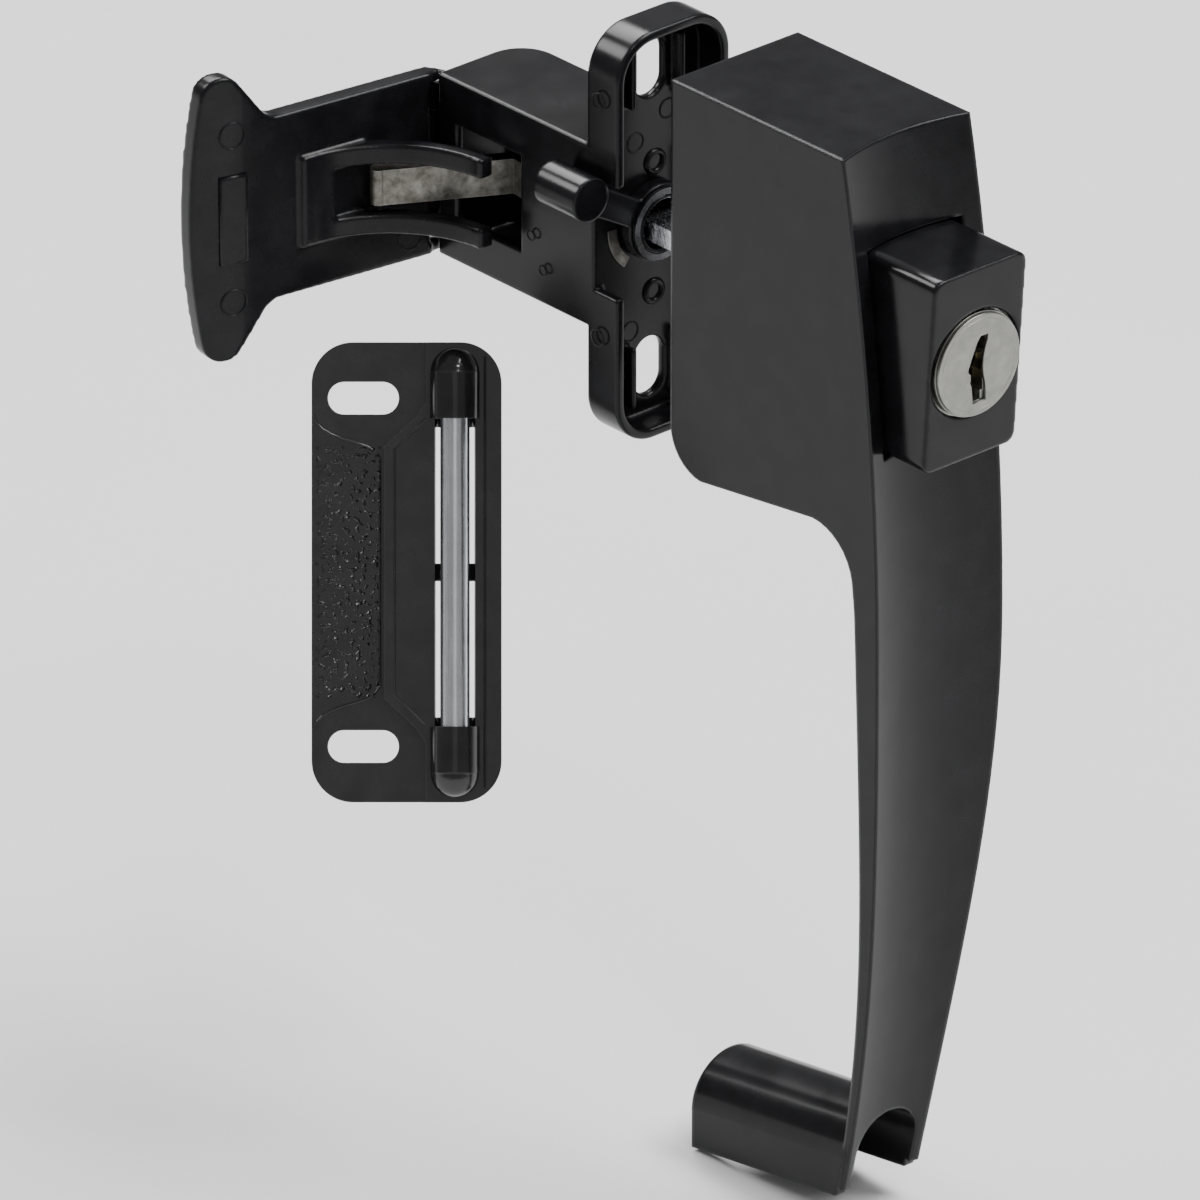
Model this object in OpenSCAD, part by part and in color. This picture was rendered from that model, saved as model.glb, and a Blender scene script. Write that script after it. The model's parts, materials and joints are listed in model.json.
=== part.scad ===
// Push-button door latch set: an outside pull handle with a locking push button, the inside latch that the
// button's spindle works, and the strike that its bolt catches.
// +Z is up, +Y points into the room, and the origin is the spindle's axis at the latch's door face.

/* [Door] */
// Space between the handle's back and the latch's door face
door_gap = 12.1; // [12:0.1:13]
// Distance between the two through screws
screw_spacing = 44.45; // [44:0.05:45]

/* [Handle] */
// Width of the head block
head_w = 22.7; // [22.5:0.1:24]
// Height of the head block's top above the spindle
head_top = 29.7; // [29:0.1:32]
// Height of the head block's underside at the door
head_bottom = -27.6; // [-29:0.1:-27]
// Height of the grip's lower end
grip_bottom = -127.5; // [-132:0.5:-124]
// Radius of the grip's bow, seen from the side
bow_r = 347; // [330:1:370]
// Furthest reach of the bow from the latch's door face
bow_depth = 53.4; // [52:0.1:55]
// Height at which the bow reaches furthest
bow_z = -42; // [-46:1:-38]
// Depth of the hollow across the handle's front
front_hollow = 1.95; // [1.8:0.05:2.1]
// Wall of the casting
wall = 1.9; // [1.6:0.1:2]
// Outer radius of the half-round leg
leg_r = 7.2; // [7:0.1:7.6]

/* [Button] */
// Width of the push button
button_w = 16.5; // [16.4:0.1:16.6]
// Height of the button's lower edge
button_low = -12.9; // [-13:0.1:-12.7]
// Height of the button's upper edge
button_high = 15.8; // [15.6:0.1:16]
// Height of the lock's axis
lock_z = 1.5; // [1.3:0.1:1.8]
// Radius of the lock's face
lock_face_r = 7.5; // [7:0.1:7.6]

/* [Latch case] */
// Width of the base pan
pan_w = 20.2; // [20:0.1:20.4]
// Height of the base pan
pan_h = 60.4; // [60:0.1:62]
// Depth of the base pan
pan_d = 6.2; // [6:0.1:6.4]
// Height of the box housing
box_h = 27; // [26.8:0.1:28]
// Distance from the door face to the housing's room side
box_d = 36.6; // [36.4:0.1:36.7]
// Length of the screw slots
slot_l = 8.6; // [8:0.1:9]
// Width of the screw slots
slot_w = 5.2; // [5:0.1:5.4]

/* [Lever and bolt] */
// Height of the lever's arm
arm_h = 27; // [26:0.5:28]
// Height of the lever's flared end
flare_h = 42.2; // [41:0.1:43]
// Length of the lever to the middle of its flared end
lever_l = 37.5; // [37:0.1:38]
// Thickness of the lever
lever_t = 2.7; // [2.4:0.1:2.8]
// Angle by which the lever leans into the room
lever_lean = 7.9; // [7:0.1:8.5]

/* [Strike] */
// Width of the strike plate
strike_w = 25.7; // [25.4:0.1:26]
// Height of the strike plate
strike_h = 62.2; // [61:0.1:63]
// Radius of the roller pin
roller_r = 2; // [1.9:0.05:2]
// Turn of the strike about the vertical, which lays it flat to the front left
strike_turn = -41.67; // [-42:0.01:-41]
// Lean of the strike
strike_lean = -26.7; // [-27:0.1:-26]

/* [Hidden] */
$fn = 48;
eps = 0.01;
black = [0.05, 0.05, 0.055];
steel = [0.72, 0.73, 0.74];
nickel = [0.62, 0.62, 0.6];
zinc = [0.5, 0.5, 0.49];
brass = [0.75, 0.6, 0.3];

// Handle
screw_z = screw_spacing / 2;
grip_steps = 36;
taper_top = -40;
taper_length = 90;
foot_half = 6.9;
grip_thick_top = 4.8;
grip_thick_fall = 2.6 / 77;
grip_fillet = 8;
head_fillet = 6.5;
head_lift = 2.9;
front_top = bow_depth - (bow_r - sqrt(bow_r * bow_r - pow(head_top - bow_z, 2)));
hollow_r = 34.5;
hollow_bow_r = 371;
hollow_z = -44.15;
cavity_front = 44;
cavity_half = head_w / 2 - wall;
cavity_bottom = -24.9;
cavity_top = head_top - wall;
post_r = 3.5;
post_neck_r = 2.8;
post_start = door_gap + 0.4;
post_bore_r = 1.75;
post_bore_l = 26;
leg_wall = 1.7;
leg_slope = 8.3;
leg_z = -128.8;
leg_skirt = 5.8;
leg_set_back = 1.1;
skirt_inset = 0.02;
skirt_lap = 0.5;

// Button and lock
fit_gap = 0.3;
button_wall = 1.5;
button_corner = 1.6;
face_low = 58.6;
face_high = 60.6;
base_back = 41.9;
base_front = 43.7;
base_half = 9.1;
base_lip = 1.3;
lock_bore_r = 7.8;
front_wall_back = 56.5;
shell_r = 6.5;
shell_head_r = 7.75;
head_back = 57.9;
lock_face_t = 1.1;
plug_r = 4.55;
plug_gap = 0.05;
tail_r = 1.9;
key_w = 2.1;
wafer_count = 5;
wafer_step = 1.5;
retainer_front = 36;
retainer_t = 1.4;
spindle_half = 3;
spindle_h = 3;
spindle_end = -6.75;
spindle_head = 46.5;
pin_depth = 45.2;
spring_r = 5;

// Latch
pan_half = pan_w / 2;
pan_corner = 6.6;
pan_wall = 1.4;
box_right = 5.7;
box_corner = 5.5;
box_wall = 1.4;
boss_r = 4.3;
boss_start = 1.8;
turn_ring_r = 5.6;
spindle_hole_r = 3.55;
lever_pivot = [-8.2, 39.5];
lever_root = [-11.2, 36.9];
knuckle_r = 2.5;
knuckle_h = 14.4;
lug_h = 4;
pin_r = 1.5;
run_gap = 0.05;
bolt_pivot = [-5, 14];
finger_elbow = [-3.65, 27];
finger_tip = [-20.6, 36.65];
bolt_pad = [1, 8.5];
bolt_nose = [11.5, 23.2];
tip_a = 32.9;
tip_r = 3;
neck_a = 24;
neck_r = 3.5;
neck_turn = 52;
lip_h = 1.7;
fork_centre = [-32, 21.5];
fork_r = 18.4;
fork_t = 2.2;
fork_h = 13.2;
fork_gap = 7.5;
peg_place = [-13.6, 7.9];
peg_r = 3.15;

// Strike
strike_place = [-32.2, 18, -47.7];
strike_corner = 5.6;
strike_t = 2;
strike_rise = 1;
strike_slot = [9.6, 4.4];
slot_place = [-5.85, 23.55];
roller_x = 6.55;
roller_y = -1.6;
roller_free = 41.6;
roller_seat = 3.6;
socket_r = 3.35;
socket_l = 6.3;

function front_depth(z) = bow_depth - (bow_r - sqrt(bow_r * bow_r - pow(z - bow_z, 2)));
function back_depth(z) = front_depth(z) - grip_thick_top + grip_thick_fall * max(0, -32 - z);
function taper(z) = min(1, max(0, (taper_top - z) / taper_length));
function grip_half(z) = head_w / 2 - (head_w / 2 - foot_half) * (1 - cos(180 * taper(z))) / 2;
function step_z(i, from, to) = from + (to - from) * i / grip_steps;
function arc(c, r, from, to, n = 8) = [for (i = [0:n])
    let (t = from + (to - from) * i / n) [c.x + r * cos(t), c.y + r * sin(t)]];

// Draws in the X-Z plane and extrudes outward from a depth
module at_depth(depth, length) {
    translate([0, -depth, 0]) rotate([90, 0, 0]) linear_extrude(length) children();
}

// Extrudes a side outline, drawn as depth and height, across the width
module across(width) {
    rotate([90, 0, 90]) linear_extrude(width, center = true) mirror([1, 0]) children();
}

module rounded(size, r) {
    square([size.x - 2 * r, size.y], center = true);
    square([size.x, size.y - 2 * r], center = true);
    for (sx = [-1, 1], sy = [-1, 1])
        translate([sx * (size.x / 2 - r), sy * (size.y / 2 - r)]) circle(r);
}

module slot(size) {
    r = min(size) / 2;
    square([size.x - (size.x > size.y ? 2 * r : 0), size.y - (size.y > size.x ? 2 * r : 0)], center = true);
    for (s = [-1, 1])
        translate([s * (size.x / 2 - r), s * (size.y / 2 - r)]) circle(r);
}

// Flat bar with a round end that stands a little proud of its sides
module bar(from, to, w) {
    run = to - from;
    translate(to) circle(d = w + 0.2);
    translate(from) rotate(atan2(run.y, run.x)) translate([0, -w / 2]) square([norm(run), w]);
}

module ring(outer, inner) {
    difference() {
        circle(outer);
        circle(inner);
    }
}

// Solid wire wound along +Z, swept through a ring of points at each step
module coil(r, wire, length, turns) {
    steps = turns * 16;
    sides = 8;
    points = [for (i = [0:steps], j = [0:sides - 1])
        let (a = 360 * turns * i / steps, b = 360 * j / sides, q = r + wire * cos(b))
        [q * cos(a), q * sin(a), length * i / steps + wire * sin(b)]];
    walls = [for (i = [0:steps - 1], j = [0:sides - 1])
        let (k = (j + 1) % sides)
        [i * sides + j, i * sides + k, (i + 1) * sides + k, (i + 1) * sides + j]];
    ends = [[for (j = [sides - 1:-1:0]) j], [for (j = [0:sides - 1]) steps * sides + j]];
    polyhedron(points, concat(walls, ends), convexity = 8);
}

// ---- Outside handle ----

module side_outline() {
    polygon(concat(
        [[door_gap, head_top], [front_top, head_top]],
        [for (i = [1:grip_steps]) let (z = step_z(i, head_top, grip_bottom)) [front_depth(z), z]],
        [for (i = [0:grip_steps]) let (z = step_z(i, grip_bottom, head_bottom - grip_fillet)) [back_depth(z), z]],
        arc([back_depth(head_bottom) - grip_fillet, head_bottom + head_lift - grip_fillet],
            grip_fillet, 10, 90),
        arc([door_gap + head_fillet, head_bottom + head_fillet], head_fillet, 265, 180)));
}

module front_outline() {
    polygon(concat(
        [for (i = [0:grip_steps]) let (z = step_z(i, head_top, grip_bottom)) [grip_half(z), z]],
        [for (i = [grip_steps:-1:0]) let (z = step_z(i, head_top, grip_bottom)) [-grip_half(z), z]]));
}

// Half circle on a skirt that stands a hair inside it, so that their faces cross instead of touching
module leg_section(r, skirt) {
    intersection() {
        circle(r);
        translate([-r, 0]) square(2 * r);
    }
    translate([-r + skirt_inset, -skirt]) square([2 * (r - skirt_inset), skirt + skirt_lap]);
}

module along_leg() {
    translate([0, 0, leg_z]) rotate([90 - leg_slope, 0, 0]) linear_extrude(70) children();
}

module bow_solid(r, depth, z, width) {
    translate([0, r - depth, z]) rotate([0, 90, 0]) cylinder(r = r, h = width, center = true, $fn = 360);
}

module leg() {
    intersection() {
        along_leg() leg_section(leg_r, leg_skirt);
        bow_solid(bow_r, bow_depth - leg_set_back, bow_z, 60);
        translate([-30, -door_gap - 60, -160]) cube([60, 60, 80]);
    }
}

module front_cut() {
    ring_r = hollow_bow_r + hollow_r - front_hollow;
    translate([0, hollow_bow_r - bow_depth, hollow_z])
        rotate([0, 90, 0]) rotate_extrude($fn = 360) translate([ring_r, 0]) circle(hollow_r, $fn = 96);
}

module handle_casting() {
    color(black) difference() {
        union() {
            difference() {
                intersection() {
                    across(head_w) side_outline();
                    at_depth(0, 80) front_outline();
                }
                at_depth(door_gap - eps, cavity_front - door_gap)
                    translate([-cavity_half, cavity_bottom])
                        square([2 * cavity_half, cavity_top - cavity_bottom]);
            }
            leg();
            for (s = [-1, 1]) {
                at_depth(retainer_front, cavity_front - retainer_front + 1)
                    translate([0, s * screw_z]) circle(post_r);
                at_depth(post_start, retainer_front - post_start + 1)
                    translate([0, s * screw_z]) circle(post_neck_r);
            }
        }
        along_leg() leg_section(leg_r - leg_wall, leg_skirt + 1);
        at_depth(cavity_front - 1, 20)
            translate([0, (button_low + button_high) / 2])
                square([button_w + 2 * fit_gap, button_high - button_low + 2 * fit_gap], center = true);
        for (s = [-1, 1])
            at_depth(post_start - 1, post_bore_l + 1) translate([0, s * screw_z]) circle(post_bore_r);
        front_cut();
    }
}

module button_retainer() {
    color(steel) at_depth(retainer_front - retainer_t, retainer_t) difference() {
        square([2 * cavity_half - 0.6, 2 * (cavity_bottom + wall) * -1], center = true);
        for (s = [-1, 1])
            translate([0, s * screw_z]) circle(post_neck_r + run_gap);
        square([2 * spindle_half + 1, spindle_h + 1], center = true);
    }
}

module retainer_clips() {
    color(steel) for (s = [-1, 1])
        at_depth(retainer_front - retainer_t - 0.6, 0.55)
            translate([0, s * screw_z]) ring(post_neck_r + 1.9, post_neck_r);
}

// ---- Push button and lock ----

module push_button() {
    mid = (button_low + button_high) / 2;
    height = button_high - button_low;
    color(black) difference() {
        intersection() {
            at_depth(base_front, 30) translate([0, mid]) rounded([button_w, height], button_corner);
            across(button_w) polygon([[base_front, button_low], [face_low, button_low],
                                      [face_high, button_high], [base_front, button_high]]);
        }
        at_depth(base_front - eps, front_wall_back - base_front)
            translate([0, mid]) square([button_w - 2 * button_wall, height - 2 * button_wall], center = true);
        at_depth(base_front, 30) translate([0, lock_z]) circle(lock_bore_r);
    }
}

module button_base() {
    color(steel) at_depth(base_back, base_front - base_back) difference() {
        translate([0, (button_low + button_high) / 2])
            square([2 * base_half, button_high - button_low + 2 * base_lip], center = true);
        square([2 * spindle_half + 0.1, spindle_h + 0.1], center = true);
    }
}

module button_spring() {
    color(steel) translate([0, -retainer_front - 0.55, 0]) rotate([90, 0, 0])
        coil(spring_r, 0.4, base_back - retainer_front - 1.1, 3);
}

module spindle() {
    color(steel) difference() {
        at_depth(spindle_end, spindle_head - spindle_end)
            square([2 * spindle_half, spindle_h], center = true);
        translate([0, -pin_depth, 0]) rotate([0, 90, 0]) cylinder(r = 0.8, h = 20, center = true);
    }
}

module spindle_pin() {
    color(steel) translate([0, -pin_depth, 0]) rotate([0, 90, 0]) cylinder(r = 0.8, h = 10, center = true);
}

module lock_shell() {
    color(nickel) {
        at_depth(48.8, 9.5) translate([0, lock_z]) ring(shell_r, plug_r + plug_gap);
        at_depth(head_back, 0.8) translate([0, lock_z]) ring(shell_head_r, plug_r + plug_gap);
    }
}

module keyway() {
    square([key_w, 8], center = true);
    translate([0.45, 3.6]) square([key_w, 3.4], center = true);
    translate([-0.45, -3.9]) square([key_w, 3], center = true);
    circle(1.7);
}

module lock_plug() {
    color(nickel) difference() {
        union() {
            at_depth(head_back + 0.9, lock_face_t) translate([0, lock_z]) circle(lock_face_r);
            at_depth(48.6, head_back - 47.6) translate([0, lock_z]) circle(plug_r);
            at_depth(46.8, 2) translate([0, lock_z]) circle(tail_r);
        }
        at_depth(49.6, 20) translate([0, lock_z]) intersection() {
            keyway();
            square([6, 2 * plug_r + 1.6], center = true);
        }
        at_depth(49.8, wafer_count * wafer_step + 0.5) translate([0, lock_z])
            square([5.4, 7], center = true);
    }
}

module lock_wafers() {
    color(brass) for (i = [0:wafer_count - 1])
        at_depth(50.2 + i * wafer_step, 0.8) translate([0, lock_z]) difference() {
            square([5.2, 6.8], center = true);
            translate([0, 0.3 * (i % 2)]) square([key_w, 4], center = true);
        }
}

module plug_clip() {
    color(steel) at_depth(48, 0.55) translate([0, lock_z]) difference() {
        ring(4.4, tail_r);
        translate([0, 3]) square([2.6, 6], center = true);
    }
}

module locking_cam() {
    color(zinc) at_depth(46.9, 0.9) translate([0, lock_z]) difference() {
        union() {
            circle(2.9);
            bar([0, 0], [0, -3.4], 5.2);
        }
        circle(tail_r);
    }
}

// ---- Inside latch ----

module box_outline(inset) {
    left = -pan_half + inset;
    right = box_right - inset;
    back = box_d - inset;
    r = box_corner - inset;
    polygon(concat([[left, pan_d - eps], [right, pan_d - eps]],
                   arc([right - r, back - r], r, 0, 90),
                   [[left, back]]));
}

module slots(size) {
    for (s = [-1, 1])
        translate([0, s * screw_z]) slot(size);
}

module latch_case() {
    color(black) difference() {
        union() {
            // Base pan, open towards the door
            difference() {
                at_depth(-pan_d, pan_d) rounded([pan_w, pan_h], pan_corner);
                at_depth(-pan_d + pan_wall, pan_d)
                    rounded([pan_w - 2 * pan_wall, pan_h - 2 * pan_wall], pan_corner - pan_wall);
            }
            // Box housing
            difference() {
                linear_extrude(box_h, center = true) box_outline(0);
                linear_extrude(box_h - 2 * box_wall, center = true) box_outline(box_wall);
            }
            // Lugs that carry the lever's pin
            for (s = [-1, 1])
                translate([0, 0, s * (knuckle_h / 2 + 0.3 + lug_h / 2)])
                    linear_extrude(lug_h, center = true) {
                        translate(lever_pivot) circle(knuckle_r);
                        translate([lever_pivot.x - 1.5, box_d - 1]) square([knuckle_r + 1.5, 3.5]);
                    }
            // Hub that the night lock turns on
            at_depth(-pan_d + pan_wall - eps, pan_d - pan_wall - boss_start) circle(boss_r);
            // Ribs beside the screw slots
            for (sx = [-1, 1], sz = [-1, 1])
                at_depth(-pan_d + pan_wall - eps, 2)
                    translate([sx * 4.4, sz * screw_z]) square([1, 9], center = true);
        }
        at_depth(-pan_d - 1, 10) {
            slots([slot_w, slot_l]);
            circle(spindle_hole_r);
        }
        // Way in for the lever's fork and the bolt's finger
        translate([-pan_half - 1, 19.8, -7.1]) cube([4, 12.9, 14.2]);
        // Way out for the bolt's nose
        translate([box_right - 3, 14, -5.6]) cube([5, 17.5, 11.2]);
        // Notch that the night lock's arm swings in
        translate([-pan_half - 1, -1, -7.7]) cube([4, pan_d - pan_wall + 1, 16.5]);
        for (p = [bolt_pivot, lever_pivot])
            translate([p.x, p.y, 0]) cylinder(r = pin_r, h = 25.4, center = true);
    }
}

module lever_pin() {
    color(steel) translate([lever_pivot.x, lever_pivot.y, 0])
        cylinder(r = pin_r, h = knuckle_h + 2 * lug_h, center = true);
}

module bolt_pin() {
    color(steel) translate([bolt_pivot.x, bolt_pivot.y, 0]) cylinder(r = pin_r, h = 25.4, center = true);
}

// Arm that widens through a round neck into a flare with round tips and a bowed outer edge
module lever_face() {
    tip = [tip_a, flare_h / 2 - tip_r];
    reach = lever_l - tip.x;
    r = (tip.y * tip.y + reach * reach - tip_r * tip_r) / (2 * (reach - tip_r));
    open = atan2(tip.y, tip.x - lever_l + r);
    side = concat([[0, arm_h / 2]], arc([neck_a, arm_h / 2 + neck_r], neck_r, 270, 270 + neck_turn),
                  arc(tip, tip_r, 90 + neck_turn, open));
    polygon(concat(side, arc([lever_l - r, 0], r, open - 1, 1 - open, 24),
                   [for (i = [len(side) - 1:-1:0]) [side[i].x, -side[i].y]]));
}

function curl(a) = 3 * pow(max(0, a - 28) / 13.5, 2);

module lever_edge() {
    polygon(concat([for (a = [0:1.5:lever_l + 1]) [a, -curl(a)]],
                   [for (a = [lever_l:-1.5:-0.1]) [a, -curl(a) - lever_t]]));
}

module inside_lever() {
    color(black) difference() {
        union() {
            translate([lever_root.x, lever_root.y, 0]) rotate([0, 0, 180 - lever_lean]) intersection() {
                rotate([90, 0, 0]) linear_extrude(30, center = true) lever_face();
                linear_extrude(50, center = true) lever_edge();
            }
            // Lips that close the seam above and below the lugs
            for (s = [-1, 1])
                translate([0, 0, s * (arm_h - lip_h - 0.1) / 2]) linear_extrude(lip_h, center = true)
                    polygon([lever_root + [0.2, 0], lever_root + [0.75, 0.35], lever_root + [2.2, 0.35],
                             lever_root + [2.2, 2.6], lever_root + [-1, 2.7], lever_root + [-1, 0.3]]);
            linear_extrude(knuckle_h, center = true) {
                translate(lever_pivot) circle(knuckle_r);
                polygon([lever_pivot - [0.5, knuckle_r - 0.3], lever_root + [-2, 0.5], lever_root + [-2, 2.6],
                         lever_pivot + [-1, knuckle_r - 0.6]]);
            }
            difference() {
                linear_extrude(fork_h, center = true) intersection() {
                    translate(fork_centre) ring(fork_r + fork_t / 2, fork_r - fork_t / 2);
                    translate([fork_centre.x, fork_centre.y + 1]) square(30);
                }
                translate([-26.9, 0, -fork_gap / 2]) cube([30, 60, fork_gap]);
            }
        }
        translate([lever_pivot.x, lever_pivot.y, 0])
            cylinder(r = pin_r + run_gap, h = 40, center = true);
    }
}

module latch_bolt() {
    color(zinc) difference() {
        union() {
            translate([bolt_pivot.x, bolt_pivot.y, 0]) cylinder(r = 2.8, h = 10.4, center = true);
            linear_extrude(9.6, center = true) bar(bolt_pivot, bolt_nose, 4.6);
            linear_extrude(5.2, center = true) {
                bar(bolt_pivot, finger_elbow, 3);
                bar(finger_elbow, finger_tip, 2.2);
            }
            linear_extrude(3.6, center = true) bar(bolt_pivot, bolt_pad, 2.9);
        }
        translate([bolt_pivot.x, bolt_pivot.y, 0])
            cylinder(r = pin_r + run_gap, h = 30, center = true);
    }
}

module bolt_spring() {
    color(steel) translate([bolt_pivot.x, bolt_pivot.y, 6]) coil(2.5, 0.35, 4, 4);
}

module night_lock_arm() {
    color(black) {
        at_depth(-4.5, 2) difference() {
            union() {
                circle(turn_ring_r);
                bar([0, 0], peg_place, 4);
            }
            circle(boss_r + run_gap);
        }
        at_depth(-9.5, 8.2) translate(peg_place) circle(peg_r);
    }
}

module night_lock_washer() {
    color(steel) at_depth(-2.4, 0.5) ring(turn_ring_r - 0.4, boss_r);
}

module detent_spring() {
    color(steel) at_depth(-pan_d + pan_wall, 3) {
        translate([6.4, 0]) square([0.4, 15], center = true);
        for (s = [-1, 1])
            translate([7.45, s * 7.25]) square([2.5, 0.5], center = true);
    }
}

// ---- Strike ----

module at_strike() {
    translate(strike_place) rotate([0, 0, strike_turn]) rotate([strike_lean, 0, 0]) children();
}

module raised_side() {
    step = [[-3.05, 17], [1.25, 21], [2.6, 23], [2.6, strike_h]];
    intersection() {
        rounded([strike_w, strike_h], strike_corner);
        polygon(concat(step, [[strike_w, strike_h], [strike_w, -strike_h]],
                       [for (i = [3:-1:0]) [step[i].x, -step[i].y]]));
    }
}

module strike_plate() {
    color(black) at_strike() difference() {
        union() {
            at_depth(-strike_t, strike_t) rounded([strike_w, strike_h], strike_corner);
            at_depth(-eps, strike_rise) raised_side();
            for (s = [-1, 1])
                translate([roller_x, roller_y, s * (roller_free + socket_l) / 2]) {
                    cylinder(r = socket_r, h = socket_l, center = true);
                    translate([0, 0, s * socket_l / 2]) sphere(socket_r - 0.05);
                }
        }
        at_depth(-10, 20) {
            for (s = [-1, 1]) {
                translate([slot_place.x, s * slot_place.y]) slot(strike_slot);
                translate([roller_x, s * 10.4]) square([5.2, 18.4], center = true);
            }
        }
        translate([roller_x, roller_y, 0])
            cylinder(r = roller_r + run_gap, h = roller_free + 2 * roller_seat + 0.6, center = true);
        // Trough that the free length of the roller lies in
        translate([roller_x, roller_y, 0]) cylinder(r = roller_r + 0.8, h = roller_free, center = true);
    }
}

module roller_pin() {
    color(steel) at_strike() translate([roller_x, roller_y, 0])
        cylinder(r = roller_r, h = roller_free + 2 * roller_seat, center = true);
}

handle_casting();
button_retainer();
retainer_clips();
push_button();
button_base();
button_spring();
spindle();
spindle_pin();
lock_shell();
lock_plug();
lock_wafers();
plug_clip();
locking_cam();
latch_case();
lever_pin();
inside_lever();
bolt_pin();
latch_bolt();
bolt_spring();
night_lock_arm();
night_lock_washer();
detent_spring();
strike_plate();
roller_pin();
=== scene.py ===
"""Looks of the push-button door latch set: gloss and semi-gloss black diecastings, a satin nickel lock,
bright plated steel and bare zinc, on a pale studio floor."""

import json
from math import cos, radians, sin

import bmesh
import bpy
from mathutils import Matrix, Vector


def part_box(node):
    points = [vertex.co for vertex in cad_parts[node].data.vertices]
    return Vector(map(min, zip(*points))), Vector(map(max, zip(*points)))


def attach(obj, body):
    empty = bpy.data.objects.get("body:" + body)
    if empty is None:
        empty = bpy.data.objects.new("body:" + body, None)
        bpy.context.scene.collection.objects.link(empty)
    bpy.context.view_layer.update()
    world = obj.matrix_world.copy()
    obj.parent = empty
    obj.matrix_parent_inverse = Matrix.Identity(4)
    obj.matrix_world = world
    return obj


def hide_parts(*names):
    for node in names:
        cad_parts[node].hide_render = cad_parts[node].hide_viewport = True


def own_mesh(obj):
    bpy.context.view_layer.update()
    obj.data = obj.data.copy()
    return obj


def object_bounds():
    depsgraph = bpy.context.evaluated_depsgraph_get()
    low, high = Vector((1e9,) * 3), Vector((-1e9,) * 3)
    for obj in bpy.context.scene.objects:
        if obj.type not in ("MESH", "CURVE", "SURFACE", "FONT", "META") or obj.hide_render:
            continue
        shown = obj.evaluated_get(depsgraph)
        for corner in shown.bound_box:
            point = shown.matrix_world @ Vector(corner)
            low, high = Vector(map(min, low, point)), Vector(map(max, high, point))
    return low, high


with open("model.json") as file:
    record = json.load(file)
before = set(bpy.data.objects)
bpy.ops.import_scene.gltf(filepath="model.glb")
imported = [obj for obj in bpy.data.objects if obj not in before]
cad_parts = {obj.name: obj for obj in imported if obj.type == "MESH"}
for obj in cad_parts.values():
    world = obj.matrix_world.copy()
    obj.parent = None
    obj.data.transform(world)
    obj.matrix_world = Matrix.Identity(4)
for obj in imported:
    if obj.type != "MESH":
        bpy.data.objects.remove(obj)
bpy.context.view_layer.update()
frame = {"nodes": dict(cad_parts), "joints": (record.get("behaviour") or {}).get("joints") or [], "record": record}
nodes = frame["nodes"]
bodies = frame["record"]["behaviour"]["bodies"]
body_of = {node: body for body, members in bodies.items() for node in members}
slot_of = {row["node"]: row["material_slot"] for row in frame["record"]["subparts"]}
joint_of = {joint["name"]: joint for joint in frame["joints"]}
mount_of = {mount["name"]: mount for mount in frame["record"]["mounts"]}

MM = 0.001
RIGHT = Vector((1, 0, 0))
UP = Vector((0, 0, 1))
DOWN = Vector((0, 0, -1))
INWARD = Vector((0, 1, 0))
OUTWARD = Vector((0, -1, 0))


# ---- Camera, light and floor ----

VIEW_AZIMUTH = radians(-41.67)
VIEW_ELEVATION = radians(26.7)
VIEW_WIDTH = 161.2 * MM
VIEW_CENTRE = Vector((-22.3, -10.2, -44.6)) * MM
LENS = 500
SENSOR = 36
NEAREST = 0.05
FARTHEST = 20
towards_camera = Vector((sin(VIEW_AZIMUTH) * cos(VIEW_ELEVATION), -cos(VIEW_AZIMUTH) * cos(VIEW_ELEVATION),
                         sin(VIEW_ELEVATION)))

# Place, width and height, and power of each light
LIGHTS = {
    "key": ((0.5, -0.5, 1.1), (0.7, 0.7), 26),
    "side": ((-0.75, 1.05, 0.95), (0.5, 0.5), 12),
    "front": (towards_camera * 1.6, (0.6, 0.6), 0.45),
    "spark": ((-0.3, -0.9, 1.2), (0.2, 0.2), 4),
    "back": ((0.3, 0.95, 1.0), (0.9, 0.35), 16),
}
LIGHT_TARGET = Vector((0, 0, -0.04))
WORLD_STRENGTH = 0.3
FLOOR_REACH = 3
FLOOR_GAP = 0.5 * MM


def add_camera():
    data = bpy.data.cameras.new("camera")
    data.lens = LENS
    data.sensor_width = SENSOR
    data.clip_start = NEAREST
    data.clip_end = FARTHEST
    camera = bpy.data.objects.new("camera", data)
    bpy.context.scene.collection.objects.link(camera)
    camera.location = VIEW_CENTRE + towards_camera * (VIEW_WIDTH * LENS / SENSOR)
    camera.rotation_euler = (-towards_camera).to_track_quat("-Z", "Y").to_euler()
    bpy.context.scene.camera = camera


def add_light(name, place, size, power):
    data = bpy.data.lights.new(name, "AREA")
    data.shape = "RECTANGLE"
    data.size, data.size_y = size
    data.energy = power
    light = bpy.data.objects.new(name, data)
    bpy.context.scene.collection.objects.link(light)
    light.location = place
    light.rotation_euler = (Vector(place) - LIGHT_TARGET).to_track_quat("Z", "Y").to_euler()


def add_floor():
    """A pale square just under the object."""
    reach = FLOOR_REACH
    corners = [(-reach, -reach, 0), (reach, -reach, 0), (reach, reach, 0), (-reach, reach, 0)]
    mesh = bpy.data.meshes.new("floor")
    mesh.from_pydata(corners, [], [(0, 1, 2, 3)])
    floor = bpy.data.objects.new("floor", mesh)
    bpy.context.scene.collection.objects.link(floor)
    floor.location.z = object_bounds()[0][2] - FLOOR_GAP
    floor.data.materials.append(floor_paint())


def add_world():
    world = bpy.data.worlds.new("studio")
    bpy.context.scene.world = world
    world.use_nodes = True
    back = world.node_tree.nodes["Background"]
    back.inputs["Color"].default_value = (1, 1, 1, 1)
    back.inputs["Strength"].default_value = WORLD_STRENGTH


# ---- Shader nodes ----

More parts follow.
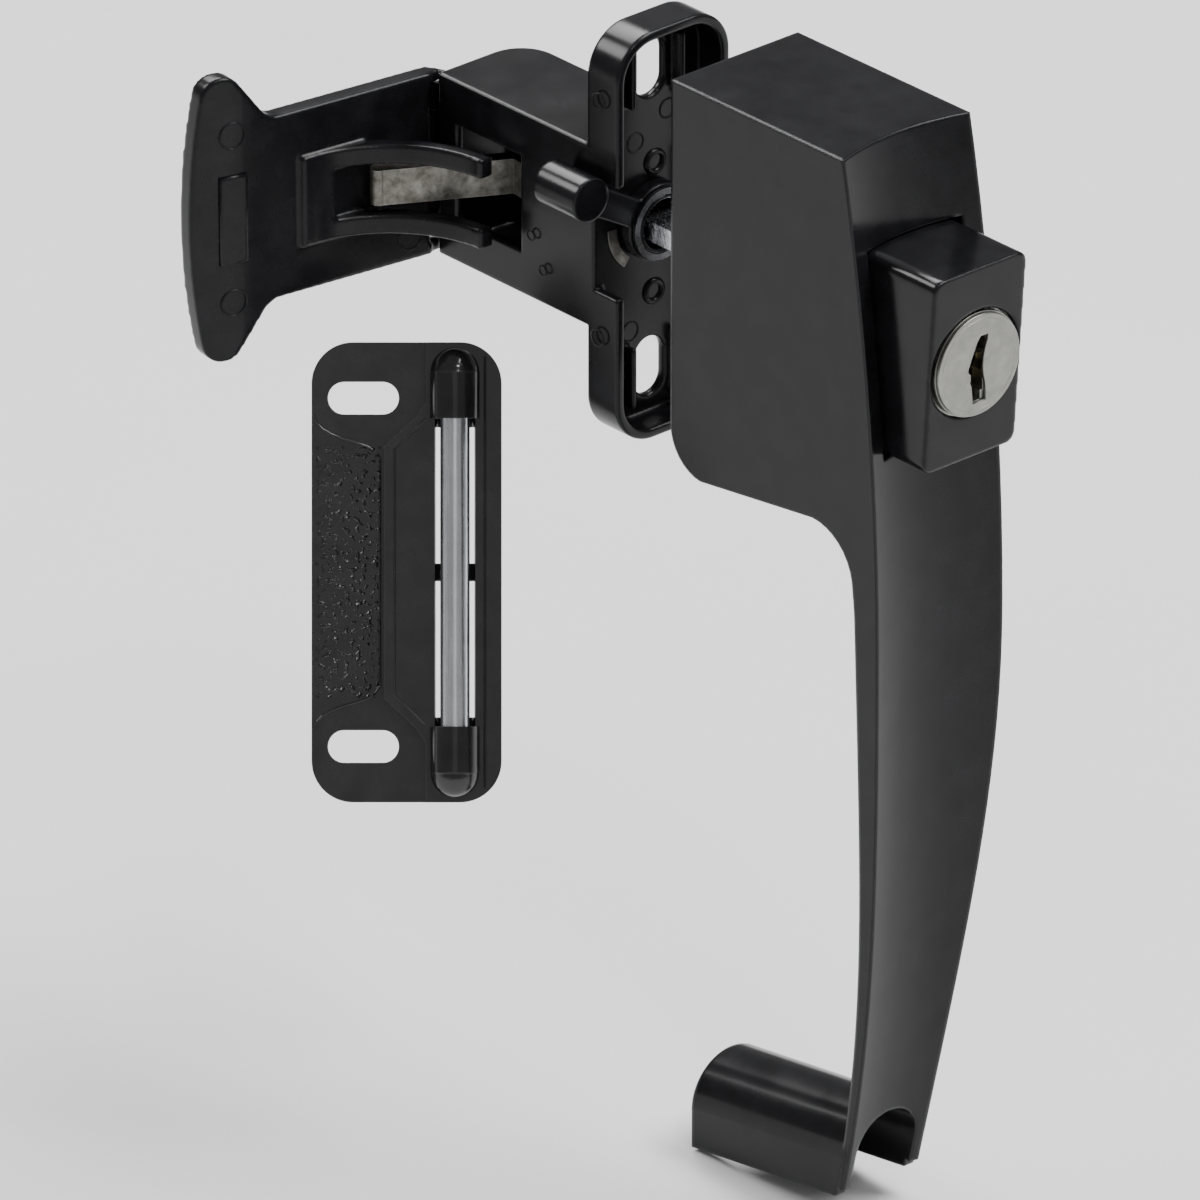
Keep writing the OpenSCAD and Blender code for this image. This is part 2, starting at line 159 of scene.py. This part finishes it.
def new_material(name, colour, metallic, roughness, specular=0.5):
    mat = bpy.data.materials.new(name)
    mat.use_nodes = True
    tree = mat.node_tree
    shader = tree.nodes["Principled BSDF"]
    shader.inputs["Base Color"].default_value = (*colour, 1)
    shader.inputs["Metallic"].default_value = metallic
    shader.inputs["Roughness"].default_value = roughness
    shader.inputs["Specular IOR Level"].default_value = specular
    return mat, tree, shader


def add_node(tree, kind, **values):
    made = tree.nodes.new(kind)
    for key, value in values.items():
        setattr(made, key, value)
    return made


def place_in_metres(tree, longer=(1, 1, 1), turn=(0, 0, 0), start=(0, 0, 0)):
    """Object coordinates in metres, along turned directions, with features made longer along them."""
    where = add_node(tree, "ShaderNodeTexCoord")
    mapping = add_node(tree, "ShaderNodeMapping", vector_type="TEXTURE")
    mapping.inputs["Location"].default_value = start
    mapping.inputs["Rotation"].default_value = turn
    mapping.inputs["Scale"].default_value = longer
    tree.links.new(where.outputs["Object"], mapping.inputs["Vector"])
    return mapping.outputs["Vector"]


def noise(tree, vector, scale, detail=3, roughness=0.55):
    made = add_node(tree, "ShaderNodeTexNoise")
    made.inputs["Scale"].default_value = scale
    made.inputs["Detail"].default_value = detail
    made.inputs["Roughness"].default_value = roughness
    tree.links.new(vector, made.inputs["Vector"])
    return made.outputs["Fac"]


def ramp(tree, factor, low, high, at=(0.3, 0.7)):
    """Maps a factor to a colour or a grey between low and high."""
    made = add_node(tree, "ShaderNodeValToRGB")
    for element, colour, place in zip(made.color_ramp.elements, (low, high), at):
        element.position = place
        element.color = (*colour, 1) if isinstance(colour, tuple) else (colour, colour, colour, 1)
    tree.links.new(factor, made.inputs["Fac"])
    return made.outputs["Color"]


def blended_normal(tree, radius, samples):
    """The surface's direction, blended round its edges."""
    bevel = add_node(tree, "ShaderNodeBevel", samples=samples)
    bevel.inputs["Radius"].default_value = radius
    return bevel.outputs["Normal"]


def edge_wear_and_highlight(tree, radius, start):
    """White where the surface turns sharply within a radius, black elsewhere: worn edges on metal and zinc, and on
    the black paint thin paint with a painted highlight.
    """
    geometry = add_node(tree, "ShaderNodeNewGeometry")
    dot = add_node(tree, "ShaderNodeVectorMath", operation="DOT_PRODUCT")
    tree.links.new(blended_normal(tree, radius, EDGE_MASK_SAMPLES), dot.inputs[0])
    tree.links.new(geometry.outputs["Normal"], dot.inputs[1])
    return ramp(tree, dot.outputs["Value"], 1.0, 0.0, at=(start, EDGE_MASK_END))


def bump(tree, shader, height, strength, distance, normal=None):
    made = add_node(tree, "ShaderNodeBump")
    made.inputs["Strength"].default_value = strength
    made.inputs["Distance"].default_value = distance
    tree.links.new(height, made.inputs["Height"])
    if normal:
        tree.links.new(normal, made.inputs["Normal"])
    tree.links.new(made.outputs["Normal"], shader.inputs["Normal"])


def mix_colours(tree, factor, first, second):
    made = add_node(tree, "ShaderNodeMix", data_type="RGBA")
    for socket, value in ((made.inputs[0], factor), (made.inputs[6], first), (made.inputs[7], second)):
        if isinstance(value, tuple):
            socket.default_value = (*value, 1)
        else:
            tree.links.new(value, socket)
    return made.outputs[2]


def calculate(tree, operation, first, second=None):
    """One step of arithmetic on a socket, with a socket or a number."""
    made = add_node(tree, "ShaderNodeMath", operation=operation)
    tree.links.new(first, made.inputs[0])
    if isinstance(second, float):
        made.inputs[1].default_value = second
    elif second:
        tree.links.new(second, made.inputs[1])
    return made.outputs[0]


# ---- Materials ----

PAINT_COLOUR = (0.006, 0.006, 0.007)
PAINT_SHINE = 0.2
PAINT_TONE = (0.65, 1.35)  # darkest and lightest paint, as shares of its colour
# Colour of the paint's edges: partly thin paint, partly a painted highlight.
THIN_PAINT_AND_HIGHLIGHT = (0.035, 0.035, 0.038)
PEEL_DEPTH = 0.06 * MM
EDGE_BLEND = 0.7 * MM  # how far the paint's highlights blend round an edge
EDGE_SAMPLES = 8
EDGE_MASK_SAMPLES = 6
EDGE_MASK_END = 0.98
DIE_WEAR_AND_HIGHLIGHT_START = 0.75
METAL_WEAR_START = 0.8
METAL_WEAR_WIDTH = 0.15 * MM
BRIGHTEST = 0.95

STRIKE_COLOUR = (0.012, 0.012, 0.012)
STRIKE_SHINE = 0.5
PANEL_FADE = (-12.5 * MM, -4.2 * MM)  # the pebbles rise from none to full between these
PANEL_RIGHT = -3.5 * MM
PANEL_HALF_HEIGHT = 17 * MM
PANEL_BACK = 1 * MM
PEBBLE_DEPTH = 0.6 * MM

# Features to a metre
TONE_GRAIN = 260
GLOSS_GRAIN = 90
PEEL_GRAIN = 900
BRUSH_GRAIN = 2200
CLOUD_GRAIN = 350
ZINC_GRAIN = 520
PIT_GRAIN = 1400
PEBBLE_GRAIN = 1300
FLOOR_GRAIN = 6


def black_paint(name, gloss, worn_and_lit_width, shine=PAINT_SHINE, colour=PAINT_COLOUR):
    """Baked black paint over a diecasting: faint orange peel, slightly uneven gloss, and lighter edges that are
    partly thin paint and partly a painted highlight.
    """
    mat, tree, shader = new_material(name, colour, 0, gloss, shine)
    where = place_in_metres(tree)
    dark, light = (tuple(part * share for part in colour) for share in PAINT_TONE)
    tone = ramp(tree, noise(tree, where, TONE_GRAIN, 4), dark, light)
    # Lighter edges: partly thin paint, partly a painted highlight.
    edge_mask = edge_wear_and_highlight(tree, worn_and_lit_width, DIE_WEAR_AND_HIGHLIGHT_START)
    tree.links.new(mix_colours(tree, edge_mask, tone, THIN_PAINT_AND_HIGHLIGHT), shader.inputs["Base Color"])
    uneven = noise(tree, where, GLOSS_GRAIN, 5, 0.6)
    tree.links.new(ramp(tree, uneven, gloss - 0.035, gloss + 0.06), shader.inputs["Roughness"])
    peel = noise(tree, where, PEEL_GRAIN, 2, 0.5)
    bump(tree, shader, peel, 0.05, PEEL_DEPTH, blended_normal(tree, EDGE_BLEND, EDGE_SAMPLES))
    return mat


def brushed_metal(name, colour, dark, roughness, longer, turn=(0, 0, 0)):
    """Plated or bare metal with fine draw lines along one direction and a faint cloudy tone."""
    mat, tree, shader = new_material(name, colour, 1, roughness)
    lines = noise(tree, place_in_metres(tree, longer, turn), BRUSH_GRAIN, 3, 0.6)
    cloud = noise(tree, place_in_metres(tree), CLOUD_GRAIN, 4, 0.6)
    tone = mix_colours(tree, ramp(tree, cloud, 0.0, 1.0), dark, colour)
    edge_mask = edge_wear_and_highlight(tree, METAL_WEAR_WIDTH, METAL_WEAR_START)
    bright = tuple(min(part * 1.25, BRIGHTEST) for part in colour)
    tree.links.new(mix_colours(tree, edge_mask, tone, bright), shader.inputs["Base Color"])
    tree.links.new(ramp(tree, lines, roughness - 0.08, roughness + 0.12), shader.inputs["Roughness"])
    bump(tree, shader, lines, 0.12, 0.03 * MM)
    return mat


def mottled_zinc(name):
    """Bare diecast zinc: cloudy brown-grey patches, small pits and dull edges."""
    mat, tree, shader = new_material(name, (0.16, 0.155, 0.14), 1, 0.45)
    where = place_in_metres(tree)
    cloud = noise(tree, where, ZINC_GRAIN, 6, 0.7)
    patches = ramp(tree, cloud, (0.1, 0.094, 0.08), (0.24, 0.232, 0.21), at=(0.36, 0.66))
    edge_mask = edge_wear_and_highlight(tree, 0.2 * MM, DIE_WEAR_AND_HIGHLIGHT_START)
    tree.links.new(mix_colours(tree, edge_mask, patches, (0.4, 0.39, 0.37)), shader.inputs["Base Color"])
    tree.links.new(ramp(tree, cloud, 0.58, 0.38), shader.inputs["Roughness"])
    bump(tree, shader, noise(tree, where, PIT_GRAIN, 4, 0.65), 0.25, 0.08 * MM)
    return mat


def floor_paint():
    """Pale, nearly even matt paint."""
    mat, tree, shader = new_material("floor_paint", (0.76, 0.76, 0.76), 0, 0.65)
    cloud = noise(tree, place_in_metres(tree), FLOOR_GRAIN, 3)
    tree.links.new(ramp(tree, cloud, (0.75, 0.75, 0.75), (0.78, 0.78, 0.78)), shader.inputs["Base Color"])
    return mat


def pebbled_panel(tree, where, normal):
    """Raised specks on the front of the panel between the strike's slots, denser towards its right edge."""
    parts = add_node(tree, "ShaderNodeSeparateXYZ")
    tree.links.new(where, parts.inputs["Vector"])
    across = add_node(tree, "ShaderNodeMapRange", clamp=True)
    across.inputs["From Min"].default_value, across.inputs["From Max"].default_value = PANEL_FADE
    tree.links.new(parts.outputs["X"], across.inputs["Value"])
    left_of_edge = calculate(tree, "LESS_THAN", parts.outputs["X"], PANEL_RIGHT)
    height = calculate(tree, "ABSOLUTE", parts.outputs["Z"])
    between_slots = calculate(tree, "LESS_THAN", height, PANEL_HALF_HEIGHT)
    in_front = calculate(tree, "LESS_THAN", parts.outputs["Y"], PANEL_BACK)
    specks = ramp(tree, noise(tree, where, PEBBLE_GRAIN, 1, 0.5), 0.0, 1.0, at=(0.56, 0.7))
    for factor in (across.outputs["Result"], left_of_edge, between_slots, in_front):
        specks = calculate(tree, "MULTIPLY", specks, factor)
    raised = add_node(tree, "ShaderNodeBump")
    raised.inputs["Strength"].default_value = 1.0
    raised.inputs["Distance"].default_value = PEBBLE_DEPTH
    tree.links.new(specks, raised.inputs["Height"])
    tree.links.new(raised.outputs["Normal"], normal)


def strike_paint(name):
    """The black paint with the strike's pebbled panel in place of the blended edges."""
    mat = black_paint(name, 0.17, 0.35 * MM, STRIKE_SHINE, STRIKE_COLOUR)
    tree = mat.node_tree
    orange_peel = tree.nodes["Principled BSDF"].inputs["Normal"].links[0].from_node
    where = place_in_metres(tree, turn=strike_turn, start=strike_frame.translation)
    pebbled_panel(tree, where, orange_peel.inputs["Normal"])
    return mat


# ---- Local frames, from the record's joints and mounts ----

# Where the strike_face mount lies on the strike, to the right of its centre and behind its front face
STRIKE_MOUNT = (-9 * MM, 2 * MM)
# How far the lever leans from the X direction, and the start of its marked face from its pivot
LEVER_LEAN = radians(7.9)
LEVER_ROOT = Vector((-3.0, -2.6, 0)) * MM


def frame_at(start, x, y, z):
    """Matrix of a local frame with these directions."""
    turn = Matrix((x, y, z)).transposed().to_4x4()
    return Matrix.Translation(start) @ turn


def shifted(place, x=0.0, y=0.0, z=0.0):
    """A local frame moved along its own directions."""
    return place @ Matrix.Translation((x, y, z))


strike_z = Vector(joint_of["roller_spin"]["axis"]).normalized()
strike_y = Vector(mount_of["strike_face"]["axis"]).normalized()
strike_x = strike_y.cross(strike_z)
strike_start = (Vector(mount_of["strike_face"]["pos_m"]) - strike_x * STRIKE_MOUNT[0]
                - strike_y * STRIKE_MOUNT[1])
strike_frame = frame_at(strike_start, strike_x, strike_y, strike_z)
strike_turn = strike_frame.to_euler()

lever_along = Vector((-cos(LEVER_LEAN), sin(LEVER_LEAN), 0))
lever_out = Vector((-sin(LEVER_LEAN), -cos(LEVER_LEAN), 0))
lever_start = Vector(joint_of["lever_swing"]["pos_m"]) + LEVER_ROOT
lever_frame = frame_at(lever_start, lever_along, DOWN, lever_out)


# ---- The record's material slots ----

MATERIALS = {
    "gloss_black": black_paint("gloss_black", 0.17, 0.5 * MM),
    "satin_black": black_paint("satin_black", 0.22, 0.35 * MM),
    "bright_steel": brushed_metal("bright_steel", (0.8, 0.82, 0.85), (0.7, 0.72, 0.76), 0.22, (1, 1, 40),
                                  strike_turn),
    "plated_steel": brushed_metal("plated_steel", (0.55, 0.56, 0.57), (0.4, 0.41, 0.43), 0.32, (1, 6, 1)),
    "spring_steel": brushed_metal("spring_steel", (0.12, 0.12, 0.125), (0.07, 0.07, 0.075), 0.3, (1, 1, 1)),
    "satin_nickel": brushed_metal("satin_nickel", (0.3, 0.3, 0.28), (0.22, 0.22, 0.205), 0.36, (6, 1, 1)),
    "bare_zinc": mottled_zinc("bare_zinc"),
    "brass": brushed_metal("brass", (0.6, 0.46, 0.22), (0.4, 0.3, 0.13), 0.3, (5, 1, 1)),
}
STRIKE_BLACK = strike_paint("strike_black")


def finish_node(name):
    data = nodes[name].data
    data.materials.clear()
    data.materials.append(MATERIALS[slot_of[name]])


# ---- Pieces that stand for CAD nodes ----

# Castings with soft edges: grain of the surface, smoothing passes and the share of faces kept
SOFTENED = {
    "push_button": (0.2 * MM, 9, 0.3),
    "inside_lever": (0.22 * MM, 9, 0.3),
}
SMOOTHING = 0.5

# Widest bevel asked for on the other pieces. Except on those in FULL_WIDTH, very short edges in a mesh hold
# the bevel of the whole piece back: to 0.02 to 0.07 mm, and on the handle to almost nothing.
ROUNDED = {
    "handle_casting": 1.1 * MM,
    "strike_plate": 0.45 * MM,
    "latch_case": 0.4 * MM,
    "night_lock_arm": 0.35 * MM,
    "latch_bolt": 0.3 * MM,
    "lock_plug": 0.25 * MM,
    "spindle": 0.2 * MM,
}
FULL_WIDTH = ("latch_case",)
WELD = 0.002 * MM
FLAT = radians(0.5)
BEVELLED = radians(32)
BEVEL_STEPS = 3
CREASED = radians(40)


def stand_for(name, piece):
    """Paints a piece, lets it ride and hides the CAD node that it stands for."""
    material = STRIKE_BLACK if name == "strike_plate" else MATERIALS[slot_of[name]]
    piece.data.materials.clear()
    piece.data.materials.append(material)
    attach(piece, body_of[name])
    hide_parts(name)


def work_in_modifiers(piece):
    """Gives the piece the mesh that its modifiers make, with smooth shading, and returns that mesh."""
    bpy.context.view_layer.update()
    view = bpy.context.evaluated_depsgraph_get()
    piece_mesh = bpy.data.meshes.new_from_object(piece.evaluated_get(view))
    piece.modifiers.clear()
    piece.data = piece_mesh
    for face in piece_mesh.polygons:
        face.use_smooth = True
    return piece_mesh


def softened_casting(name, grain, passes, kept):
    """Stands for a CAD node with its edges blended as a casting's are."""
    piece = bpy.data.objects.new(name + "_cast", nodes[name].data.copy())
    bpy.context.scene.collection.objects.link(piece)
    remesh = piece.modifiers.new("even_grain", "REMESH")
    remesh.mode = "VOXEL"
    remesh.voxel_size = grain
    smooth = piece.modifiers.new("blend_edges", "SMOOTH")
    smooth.factor = SMOOTHING
    smooth.iterations = passes
    fewer = piece.modifiers.new("fewer_faces", "DECIMATE")
    fewer.ratio = kept
    work_in_modifiers(piece)
    stand_for(name, piece)


def rounded_piece(name, width):
    """Stands for a CAD node with its sharp edges bevelled."""
    work = bmesh.new()
    work.from_mesh(nodes[name].data)
    bmesh.ops.remove_doubles(work, verts=work.verts, dist=WELD)
    bmesh.ops.dissolve_limit(work, angle_limit=FLAT, verts=work.verts, edges=work.edges)
    data = bpy.data.meshes.new(name + "_rounded")
    work.to_mesh(data)
    work.free()
    piece = bpy.data.objects.new(name + "_rounded", data)
    bpy.context.scene.collection.objects.link(piece)
    bevel = piece.modifiers.new("rounding", "BEVEL")
    bevel.limit_method = "ANGLE"
    bevel.angle_limit = BEVELLED
    bevel.width = width
    bevel.segments = BEVEL_STEPS
    bevel.use_clamp_overlap = name not in FULL_WIDTH
    work_in_modifiers(piece).set_sharp_from_angle(angle=CREASED)
    weigh = piece.modifiers.new("flat_faces", "WEIGHTED_NORMAL")
    weigh.keep_sharp = True
    stand_for(name, piece)


def button_return_spring():
    """The button's coil, smooth shaded, riding with the button."""
    data = nodes["button_spring"].data.copy()
    data.materials.clear()
    for face in data.polygons:
        face.use_smooth = True
    piece = bpy.data.objects.new("return_spring", data)
    add_piece(piece, "button", "spring_steel")
    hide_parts("button_spring")
    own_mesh(piece)


# ---- Ways to make small cast and pressed details ----

MARK_WIDTH = 0.3 * MM
CURVE_STEPS = 2
ARC_STEPS = 16
RING_POINTS = 24


def add_piece(piece, body, slot, material=None):
    bpy.context.scene.collection.objects.link(piece)
    piece.data.materials.append(material or MATERIALS[slot])
    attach(piece, body)


def bead(name, points, width, body, slot, closed=False, material=None):
    """A raised line along points, round in section and half sunk in the surface."""
    data = bpy.data.curves.new(name, "CURVE")
    data.dimensions = "3D"
    data.bevel_depth = width / 2
    data.bevel_resolution = CURVE_STEPS
    data.use_fill_caps = True
    spline = data.splines.new("POLY")
    spline.points.add(len(points) - 1)
    for point, place in zip(spline.points, points):
        point.co = (*place, 1)
    spline.use_cyclic_u = closed
    add_piece(bpy.data.objects.new(name, data), body, slot, material)


def arc(radius, start, end, steps=ARC_STEPS, centre=(0, 0)):
    """Points of an arc between two angles in degrees."""
    turns = [radians(start + (end - start) * step / steps) for step in range(steps + 1)]
    return [(centre[0] + radius * cos(turn), centre[1] + radius * sin(turn)) for turn in turns]


def circle(radius, count, centre=(0, 0)):
    """Points of a whole circle, without the first one again at its end."""
    return arc(radius, 0, 360 - 360 / count, count - 1, centre)


def ring_mark(name, place, centre, radius, body, slot="satin_black", width=MARK_WIDTH):
    """The faint round line that an ejector pin leaves, in the X-Y plane of place."""
    points = [place @ Vector((x, y, 0)) for x, y in circle(radius, RING_POINTS, centre)]
    bead(name, points, width, body, slot, closed=True)


def plate(name, outlines, thickness, rounding, place, body, slot):
    """A flat plate with rounded edges, filled between its outlines, in the X-Y plane of place."""
    data = bpy.data.curves.new(name, "CURVE")
    data.dimensions = "2D"
    data.fill_mode = "BOTH"
    data.extrude = thickness / 2 - rounding
    data.bevel_depth = rounding
    data.bevel_resolution = CURVE_STEPS
    data.offset = -rounding
    for outline in outlines:
        spline = data.splines.new("POLY")
        spline.points.add(len(outline) - 1)
        for point, (x, y) in zip(spline.points, outline):
            point.co = (x, y, 0, 1)
        spline.use_cyclic_u = True
    piece = bpy.data.objects.new(name, data)
    piece.matrix_world = place
    add_piece(piece, body, slot)


# ---- Lock face ----

# Middle of the key slot, its height and its half width, from the lower end to the upper, in millimetres from
# the lock's axis
KEY_SLOT = [(0.05, -5.4, 1.15), (0.05, -4.2, 1.2), (-0.1, -2.9, 1.2), (-0.5, -1.5, 1.3), (-0.6, -0.3, 1.3),
            (-0.3, 1.0, 1.1), (0.1, 2.2, 0.95), (0.6, 3.4, 0.9), (0.95, 4.1, 0.7)]
LOCK_FACE_R = 7.3 * MM
LOCK_FACE_T = 0.5 * MM
LOCK_FACE_ROUNDING = 0.12 * MM
LOCK_FACE_POINTS = 72
LOCK_RIM_INSET = 0.7 * MM
LOCK_RIM_WIDTH = 0.12 * MM
LOCK_RIM_SUNK = 0.03 * MM


def lock_face():
    """Face of the lock plug with its wavy key slot and a shallow turned ring."""
    key = joint_of["key_turn"]["pos_m"]
    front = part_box("lock_plug")[0][1]
    place = frame_at((key[0], front - LOCK_FACE_T / 2, key[2]), RIGHT, UP, OUTWARD)
    left = [((x - half) * MM, z * MM) for x, z, half in KEY_SLOT]
    right = [((x + half) * MM, z * MM) for x, z, half in KEY_SLOT]
    outlines = [circle(LOCK_FACE_R, LOCK_FACE_POINTS), left + right[::-1]]
    plate("lock_face", outlines, LOCK_FACE_T, LOCK_FACE_ROUNDING, place, "plug", "satin_nickel")
    raised = shifted(place, z=LOCK_FACE_T / 2 - LOCK_RIM_SUNK)
    rim_radius = LOCK_FACE_R - LOCK_RIM_INSET
    ring_mark("lock_rim", raised, (0, 0), rim_radius, "plug", "satin_nickel", LOCK_RIM_WIDTH)


# ---- Lever marks ----

FLARE_START = 31.5 * MM
FLARE_SUNK = 0.2 * MM
FLARE_TILT = radians(7)
LEVER_RING_R = 1.9 * MM
FLARE_RINGS = {"high": -12.4 * MM, "low": 12.4 * MM}
ROOT_RING = (3.2 * MM, 10 * MM)
PAD_HALF_W = 2.1 * MM
PAD_HALF_H = 6.5 * MM
PAD_T = 0.6 * MM
PAD_ROUNDING = 0.25 * MM
PAD_LIFT = 0.1 * MM


def lever_marks():
    """Two ring marks and a raised pad on the flare, and one ring by the pivot. Their local Y points down."""
    flare = shifted(lever_frame, x=FLARE_START, z=-FLARE_SUNK) @ Matrix.Rotation(FLARE_TILT, 4, "Y")
    for name, place_down in FLARE_RINGS.items():
        ring_mark("lever_ring_" + name, flare, (0, place_down), LEVER_RING_R, "lever")
    ring_mark("lever_ring_root", lever_frame, ROOT_RING, LEVER_RING_R, "lever")
    corners = [(PAD_HALF_W, PAD_HALF_H), (-PAD_HALF_W, PAD_HALF_H), (-PAD_HALF_W, -PAD_HALF_H),
               (PAD_HALF_W, -PAD_HALF_H)]
    plate("lever_pad", [corners], PAD_T, PAD_ROUNDING, shifted(flare, z=PAD_LIFT), "lever", "satin_black")


# ---- Latch case marks ----

PAN_FLOOR = 4.8 * MM
# Across, height and radius of each ring in the pan, in millimetres
PAN_RINGS = [(-2.6, 11.8, 1.4), (-3.5, -16, 1.4), (3.2, 15.2, 1.4), (-7, 8.6, 1.1)]
# Across and height of each dimple in the pan
PAN_DIMPLES = [(0.9, 8.0), (0.7, -11.2)]
DIMPLE_R = 1.5 * MM
DIMPLE_RIM = 0.9 * MM
# Depth, height and radius of each ring on the case's left side
SIDE_RINGS = [(3.4, -14.1, 1.2), (16.9, -3.7, 0.7), (14.5, -8.1, 0.7), (3.2, 21, 1.2)]
SIDE_RING_WIDTH = 0.25 * MM
SIDE_RING_SUNK = 0.06 * MM
# Radii and angles of the scar round the spindle, where the casting's gate was broken off
SCAR_OUTER_R = 7.6 * MM
SCAR_INNER_R = 6.0 * MM
SCAR_ANGLES = (178, 232)
SCAR_T = 0.24 * MM
SCAR_ROUNDING = 0.08 * MM
SCAR_LIFT = 0.06 * MM


def case_marks():
    """Ring marks, dimples and the broken gate of the latch case's casting."""
    pan = frame_at((0, PAN_FLOOR, 0), RIGHT, UP, OUTWARD)
    for number, (x, z, radius) in enumerate(PAN_RINGS):
        ring_mark(f"pan_ring_{number}", pan, (x * MM, z * MM), radius * MM, "frame")
    for number, (x, z) in enumerate(PAN_DIMPLES):
        ring_mark(f"pan_dimple_{number}", pan, (x * MM, z * MM), DIMPLE_R, "frame", width=DIMPLE_RIM)
    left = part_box("latch_case")[0][0]
    side = frame_at((left + SIDE_RING_SUNK, 0, 0), INWARD, UP, RIGHT)
    for number, (y, z, radius) in enumerate(SIDE_RINGS):
        ring_mark(f"side_ring_{number}", side, (y * MM, z * MM), radius * MM, "frame", width=SIDE_RING_WIDTH)
    start, end = SCAR_ANGLES
    outline = arc(SCAR_OUTER_R, start, end) + arc(SCAR_INNER_R, end, start)
    plate("gate_scar", [outline], SCAR_T, SCAR_ROUNDING, shifted(pan, z=SCAR_LIFT), "frame", "bare_zinc")


# ---- Strike ridges ----

# Across and height of the upper ridges, in millimetres from the strike's centre
SWEEP = [(-12.6, 21.4), (-12.2, 20.3), (-11.4, 19.4), (-10.2, 18.7), (-8.7, 18.1), (-6.9, 17.6),
         (-5.2, 17.0), (-4.2, 16.3), (-3.6, 15.4)]
BANK = [(-1.6, 0), (-1.6, 16.6), (2.6, 20.7)]
BORDER = [(-3.6, 15.4), (-3.6, -15.4)]
RIB = [(10.6, 29.2), (10.6, -29.2)]
RIDGE_WIDTH = 0.35 * MM
BANK_WIDTH = 0.3 * MM
STEP_OUT = 1.0  # millimetres from the panel out to the raised parts of the face


def strike_ridge(name, points, width=RIDGE_WIDTH, out=0.0):
    """A ridge on the strike's front face along points given in millimetres, out from the panel."""
    placed = [strike_frame @ (Vector((x, -out, z)) * MM) for x, z in points]
    bead("strike_" + name, placed, width, "strike", "satin_black", material=STRIKE_BLACK)


def strike_ridges():
    """A sweep round each slot, a line beside each step, the panel's border and the rib by the right edge."""
    for name, side in (("high", 1), ("low", -1)):
        strike_ridge("sweep_" + name, [(x, side * z) for x, z in SWEEP])
        strike_ridge("bank_" + name, [(x, side * z) for x, z in BANK], BANK_WIDTH, STEP_OUT)
    strike_ridge("border", BORDER)
    strike_ridge("rib", RIB, out=STEP_OUT)


# ---- The model and its studio ----

for each in nodes:
    finish_node(each)
for each, (grain, passes, kept) in SOFTENED.items():
    softened_casting(each, grain, passes, kept)
for each, width in ROUNDED.items():
    rounded_piece(each, width)
button_return_spring()
lock_face()
lever_marks()
case_marks()
strike_ridges()

add_world()
add_floor()
for each, (place, size, power) in LIGHTS.items():
    add_light(each, place, size, power)
add_camera()
